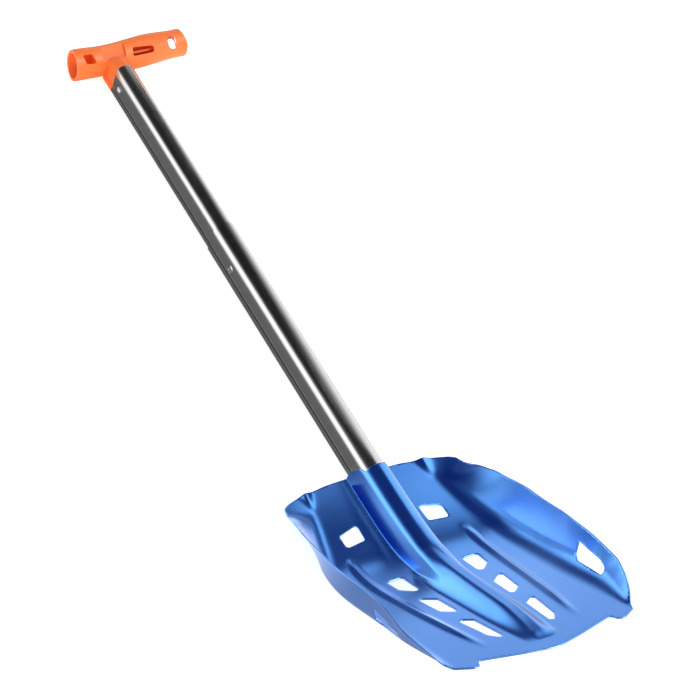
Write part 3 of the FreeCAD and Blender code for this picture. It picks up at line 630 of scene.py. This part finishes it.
blade = add_object("blade_sheet", blade_mesh())
dress(blade, blue)
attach(blade, "blade")
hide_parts("blade")
blade.visible_glossy = False

FINISHES = {
    "blade": blue,
    "socket_tray": blue,
    "lower_tube": tube,
    "upper_tube": tube,
    "lower_tube_end_cap": black,
    "upper_tube_glide": black,
    "telescope_button": steel,
    "telescope_spring": steel,
    "blade_lock_button": steel,
    "blade_lock_spring": steel,
    "grip_body": orange,
    "grip_rivet": aluminium,
}
for name, material in FINISHES.items():
    dress(nodes[name], material)


# ------------------------------------------------------------------ stage
# Places are in metres. A pair is where a soft edge starts and where it ends.

FLOOR_HALF = 6.0
FLOOR_GLOW = 0.70
# The floor as reflections see it: a dark strip under the shaft, painted as its
# shadow, which ends at the blade, on a floor that dims towards the grip and in
# front of the blade, and is brighter on the left and under the blade's middle.
SHADOW_STRIP_SIDE = (0.038, 0.060)
SHADOW_STRIP_END = (0.04, -0.04)
SHADOW_STRIP_LEVEL = 0.15
FRONT_EDGE = (-0.12, 0.02)
FRONT_LEVEL = 0.25
REAR_GAIN = 0.66
GRIP_EDGE = (0.3, 1.1)
GRIP_GAIN = -0.50
LEFT_EDGE = (-0.05, -0.13)
PATCH_LEFT = (-0.035, -0.015)
PATCH_RIGHT = (0.09, 0.05)
PATCH_GAIN = 0.75


def floor_reflection(g):
    """Brightness of the floor in reflections, as a node output."""
    place = g.add("ShaderNodeSeparateXYZ", {"Vector": g.add("ShaderNodeTexCoord").outputs["Object"]})
    x = place.outputs["X"]
    y = place.outputs["Y"]
    # The dark strip under the shaft is a painted shadow of the shaft, seen in reflections.
    ahead = g.soft_step(y, *SHADOW_STRIP_END)
    outside_painted_shadow = g.maths("MAXIMUM", g.soft_step(g.maths("ABSOLUTE", x), *SHADOW_STRIP_SIDE), ahead)
    rear = g.soft_step(y, *FRONT_EDGE)
    level = g.maths("MULTIPLY_ADD", rear, REAR_GAIN, FRONT_LEVEL)
    level = g.maths("MULTIPLY_ADD", g.soft_step(y, *GRIP_EDGE), GRIP_GAIN, level)
    left_gain = g.maths("MULTIPLY_ADD", g.soft_step(x, *LEFT_EDGE), rear, 1.0)
    level = g.maths("MULTIPLY", level, left_gain)
    across_patch = g.maths("MULTIPLY", g.soft_step(x, *PATCH_LEFT), g.soft_step(x, *PATCH_RIGHT))
    patch = g.maths("MULTIPLY", across_patch, ahead)
    level = g.maths("MULTIPLY_ADD", patch, PATCH_GAIN, level)
    return g.maths("MULTIPLY_ADD", outside_painted_shadow, level, SHADOW_STRIP_LEVEL)


def build_floor():
    half = FLOOR_HALF
    corners = [(-half, -half, 0), (half, -half, 0), (half, half, 0), (-half, half, 0)]
    mesh = bpy.data.meshes.new("floor")
    mesh.from_pydata(corners, [], [(0, 1, 2, 3)])
    floor = add_object("floor", mesh)
    g = Graph("floor_white")
    tone = g.ramp(g.noise(3, 2), [(0.3, grey(0.93)), (0.7, grey(0.95))])
    g.set(Base_Color=tone, Roughness=0.9, Emission_Color=tone, Emission_Strength=FLOOR_GLOW)
    reflected = g.add("ShaderNodeEmission", {"Strength": floor_reflection(g)}).outputs[0]
    g.surface(g.add("ShaderNodeMixShader", {0: g.glossy_ray(), 1: g.shader.outputs[0], 2: reflected}))
    dress(floor, g.material)


def reflection_card(name, vertices, level, cover):
    """Panel that only reflections see: a grid of points, their brightness and cover."""
    rows, columns = level.shape
    faces = [(i * columns + j, (i + 1) * columns + j, (i + 1) * columns + j + 1, i * columns + j + 1)
             for i in range(rows - 1) for j in range(columns - 1)]
    mesh = bpy.data.meshes.new(name)
    mesh.from_pydata(vertices.reshape(-1, 3).tolist(), [], faces)
    for key, values in (("level", level), ("cover", cover)):
        mesh.attributes.new(key, "FLOAT", "POINT").data.foreach_set("value", values.ravel())
    card = add_object(name, mesh)
    g = Graph(name)
    glow = g.add("ShaderNodeEmission", {"Strength": g.attribute("level")}).outputs[0]
    clear = g.add("ShaderNodeBsdfTransparent").outputs[0]
    g.surface(g.add("ShaderNodeMixShader", {0: g.attribute("cover"), 1: clear, 2: glow}))
    dress(card, g.material)
    card.visible_camera = False
    card.visible_diffuse = False
    card.visible_transmission = False
    card.visible_shadow = False


# Curved panel over the shaft, one metre from it: how far it goes round from
# straight above (positive to the right) and how far along the shaft.
SHAFT_FLAG_TURN = (-54, 84)
SHAFT_FLAG_REACH = (0.50, 1.42)
SHAFT_FLAG_GRID = (70, 24)
SHAFT_FLAG_LIFT = 0.03
SHAFT_FLAG_DARK = 0.005
SHAFT_FLAG_BRIGHT = 1.15
# The change from dark to bright: its middle, in degrees, at one place along
# the shaft, how far it turns per metre towards the grip, and its width.
FADE_MIDDLE = 25
FADE_MIDDLE_PLACE = 0.58
FADE_TWIST = 100
FADE_WIDTH = 100


def build_shaft_flag():
    """Dark above the shaft and paler down its right side. The dark part widens
    towards the grip."""
    turns = np.radians(np.linspace(*SHAFT_FLAG_TURN, SHAFT_FLAG_GRID[0]))
    places = np.linspace(*SHAFT_FLAG_REACH, SHAFT_FLAG_GRID[1])
    turn, place = np.meshgrid(turns, places, indexing="ij")
    middle = np.radians(FADE_MIDDLE + FADE_TWIST * (place - FADE_MIDDLE_PLACE))
    share = smooth_step((turn - middle) / np.radians(FADE_WIDTH) + 0.5)
    vertices = np.stack([np.sin(turn), place, np.cos(turn) + SHAFT_FLAG_LIFT], -1)
    level = SHAFT_FLAG_DARK + SHAFT_FLAG_BRIGHT * share
    reflection_card("shaft_flag", vertices, level, np.ones_like(share))


# Flat panel over the socket, and the soft edges of its cover.
SOCKET_FLAG_X = (-0.09, 0.10)
SOCKET_FLAG_Y = (-0.09, 0.14)
SOCKET_FLAG_GRID = 24
SOCKET_FLAG_HEIGHT = 0.16
SOCKET_FLAG_LEVEL = 0.02
SOCKET_FLAG_EDGES_X = ((-0.088, -0.038), (0.098, 0.063))
SOCKET_FLAG_EDGES_Y = ((-0.088, -0.038), (0.125, 0.075))


def build_socket_flag():
    """Dark panel whose reflection darkens the bed left of the socket."""
    columns = np.linspace(*SOCKET_FLAG_X, SOCKET_FLAG_GRID)
    rows = np.linspace(*SOCKET_FLAG_Y, SOCKET_FLAG_GRID)
    x, y = np.meshgrid(columns, rows, indexing="ij")
    cover = np.ones_like(x)
    for place, edges in ((x, SOCKET_FLAG_EDGES_X), (y, SOCKET_FLAG_EDGES_Y)):
        for start, end in edges:
            cover *= smooth_step((place - start) / (end - start))
    vertices = np.stack([x, y, np.full_like(x, SOCKET_FLAG_HEIGHT)], -1)
    reflection_card("socket_flag", vertices, np.full_like(x, SOCKET_FLAG_LEVEL), cover)


# Brightness of the world for diffuse light, and of its parts in reflections.
# Edges on the compass are in degrees from straight behind the grip, positive
# to the right; edges in height are the upward part of the direction.
WORLD_LEVEL = 0.75
GLOSS_LEVEL = 1.6
GLOSS_DARK = 0.05
RIGHT_LEVEL = 0.95
RIGHT_EDGE = (2, 45)
TOP_LEVEL = 0.85
TOP_EDGE = (0.84, 0.93)
LEFT_LEVEL = 1.15
LEFT_WORLD_EDGE = (-8.6, -31.5)
LEFT_HEIGHT_EDGE = (0.38, -0.05)


def studio_world():
    """Soft studio: even white for diffuse light. Reflections see a bright right,
    a bright top and a bright low left, with a dark zone above that."""
    world = bpy.data.worlds.new("studio")
    bpy.context.scene.world = world
    world.use_nodes = True
    g = Nodes(world.node_tree)
    split = g.add("ShaderNodeSeparateXYZ", {0: g.add("ShaderNodeTexCoord").outputs["Generated"]})
    x, y, z = split.outputs
    compass = g.maths("ARCTAN2", x, y)
    right = g.soft_step(compass, *map(math.radians, RIGHT_EDGE))
    top = g.soft_step(z, *TOP_EDGE)
    left = g.soft_step(compass, *map(math.radians, LEFT_WORLD_EDGE))
    low_left = g.maths("MULTIPLY", g.soft_step(z, *LEFT_HEIGHT_EDGE), left)
    level = g.maths("MAXIMUM", g.maths("MULTIPLY", right, RIGHT_LEVEL), g.maths("MULTIPLY", top, TOP_LEVEL))
    level = g.maths("MAXIMUM", level, g.maths("MULTIPLY", low_left, LEFT_LEVEL))
    reflected = g.maths("MULTIPLY", g.maths("ADD", level, GLOSS_DARK), GLOSS_LEVEL)
    mix = g.add("ShaderNodeMix", {0: g.glossy_ray(), 2: WORLD_LEVEL, 3: reflected})
    background = g.tree.nodes["Background"]
    g.put(background.inputs["Strength"], mix.outputs[0])
    g.put(background.inputs["Color"], grey(1.0))


KEY_PLACE = (0.6, -1.4, 1.4)
KEY_TARGET = (0, 0.3, 0)
KEY_SIZE = 1.2
KEY_POWER = 22


def build_key_light():
    light = bpy.data.lights.new("key", "AREA")
    light.shape = "RECTANGLE"
    light.size = KEY_SIZE
    light.size_y = KEY_SIZE
    light.energy = KEY_POWER
    holder = bpy.data.objects.new("key", light)
    bpy.context.scene.collection.objects.link(holder)
    holder.location = KEY_PLACE
    aim = Vector(KEY_TARGET) - Vector(KEY_PLACE)
    holder.rotation_euler = aim.to_track_quat("-Z", "Y").to_euler()


# Camera: where it stands, and which way its picture's right and top point.
CAMERA_PLACE = (-1.1567, -1.4347, 2.1861)
CAMERA_RIGHT = (0.876996, -0.454053, 0.157207)
CAMERA_UP = (0.249200, 0.709537, 0.659133)
CAMERA_LENS = 154.2857
CAMERA_SENSOR = 36.0


def build_camera():
    camera = bpy.data.cameras.new("camera")
    camera.sensor_width = CAMERA_SENSOR
    camera.lens = CAMERA_LENS
    camera.clip_end = 50
    holder = bpy.data.objects.new("camera", camera)
    bpy.context.scene.collection.objects.link(holder)
    right = Vector(CAMERA_RIGHT)
    up = Vector(CAMERA_UP)
    turn = Matrix((right, up, right.cross(up))).transposed().to_4x4()
    holder.matrix_world = Matrix.Translation(Vector(CAMERA_PLACE)) @ turn
    bpy.context.scene.camera = holder


build_floor()
build_shaft_flag()
build_socket_flag()
studio_world()
build_key_light()
build_camera()
bpy.context.scene.view_settings.view_transform = "Standard"
